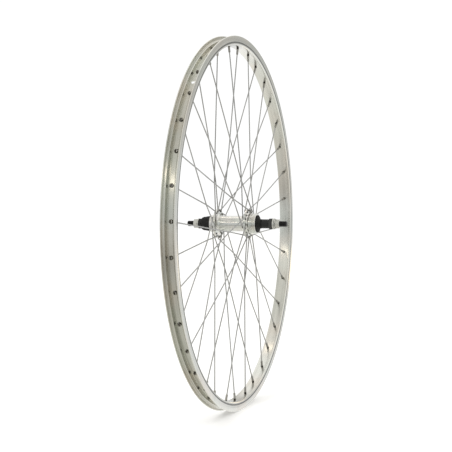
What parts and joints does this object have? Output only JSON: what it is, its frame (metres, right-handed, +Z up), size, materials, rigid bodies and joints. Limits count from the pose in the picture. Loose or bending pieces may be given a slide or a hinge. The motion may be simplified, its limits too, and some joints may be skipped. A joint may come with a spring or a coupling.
{
  "type": "bicycle rear wheel",
  "caption": "Spoked alloy rear wheel for a bicycle, with a box-sided rim, crossed steel spokes and a nutted hub threaded for a freewheel.",
  "frame": {"origin": "the wheel's centre: on the axle's line, midway between the locknut faces and in the rim's mid plane", "axes": "+Y along the axle towards the drive side, +Z up, +X completes a right-handed set"},
  "size_m": [0.634, 0.178, 0.634],
  "materials": {
    "rim_alloy": "polished, with fine lines round the rim",
    "hub_alloy": "polished",
    "spoke_steel": "drawn and zinc plated, satin",
    "bearing_steel": "ground and greased",
    "zinc_steel": "bright zinc plate",
    "black_steel": "black oxide",
    "dark_steel": "grey-black oxide, worn",
    "black_rubber": "moulded, matt"
  },
  "bodies": {
    "axle": {"axle": "black_steel", "cone_right": "bearing_steel", "cone_left": "bearing_steel", "spacer_left": "dark_steel", "spacer_tube_right": "black_steel", "locknut_left": "black_steel", "locknut_right": "dark_steel", "lock_washer_right": "zinc_steel", "boot_left": "black_rubber", "seal_right": "black_rubber", "axle_washer_right": "zinc_steel", "axle_washer_left": "zinc_steel", "axle_nut_right": "zinc_steel", "axle_nut_left": "zinc_steel"},
    "wheel": {"rim": "rim_alloy", "rim_joint_pin_right": "bearing_steel", "rim_joint_pin_left": "bearing_steel", "hub_shell": "hub_alloy", "bearing_cup_right": "bearing_steel", "bearing_cup_left": "bearing_steel", "dust_cap_right": "zinc_steel", "dust_cap_left": "zinc_steel", "spoke_right_01": "spoke_steel", "spoke_right_02": "spoke_steel", "spoke_right_03": "spoke_steel", "spoke_right_04": "spoke_steel", "spoke_right_05": "spoke_steel", "spoke_right_06": "spoke_steel", "spoke_right_07": "spoke_steel", "spoke_right_08": "spoke_steel", "spoke_right_09": "spoke_steel", "spoke_right_10": "spoke_steel", "spoke_right_11": "spoke_steel", "spoke_right_12": "spoke_steel", "spoke_right_13": "spoke_steel", "spoke_right_14": "spoke_steel", "spoke_right_15": "spoke_steel", "spoke_right_16": "spoke_steel", "spoke_right_17": "spoke_steel", "spoke_right_18": "spoke_steel", "spoke_left_01": "spoke_steel", "spoke_left_02": "spoke_steel", "spoke_left_03": "spoke_steel", "spoke_left_04": "spoke_steel", "spoke_left_05": "spoke_steel", "spoke_left_06": "spoke_steel", "spoke_left_07": "spoke_steel", "spoke_left_08": "spoke_steel", "spoke_left_09": "spoke_steel", "spoke_left_10": "spoke_steel", "spoke_left_11": "spoke_steel", "spoke_left_12": "spoke_steel", "spoke_left_13": "spoke_steel", "spoke_left_14": "spoke_steel", "spoke_left_15": "spoke_steel", "spoke_left_16": "spoke_steel", "spoke_left_17": "spoke_steel", "spoke_left_18": "spoke_steel"},
    "right_balls": {"ball_cage_right": "bearing_steel"},
    "left_balls": {"ball_cage_left": "bearing_steel"}
  },
  "joints": [
    {"name": "wheel_spin", "type": "hinge", "parent": "axle", "child": "wheel", "pos_m": [0, 0, 0], "axis": [0, 1, 0], "continuous": true},
    {"name": "right_ball_cage_spin", "type": "hinge", "parent": "axle", "child": "right_balls", "pos_m": [0, 0.0319, 0], "axis": [0, 1, 0], "continuous": true},
    {"name": "left_ball_cage_spin", "type": "hinge", "parent": "axle", "child": "left_balls", "pos_m": [0, -0.0398, 0], "axis": [0, 1, 0], "continuous": true}
  ],
  "couplings": [
    {"joint": "right_ball_cage_spin", "follows": "wheel_spin", "ratio": 0.6194},
    {"joint": "left_ball_cage_spin", "follows": "wheel_spin", "ratio": 0.6194}
  ]
}
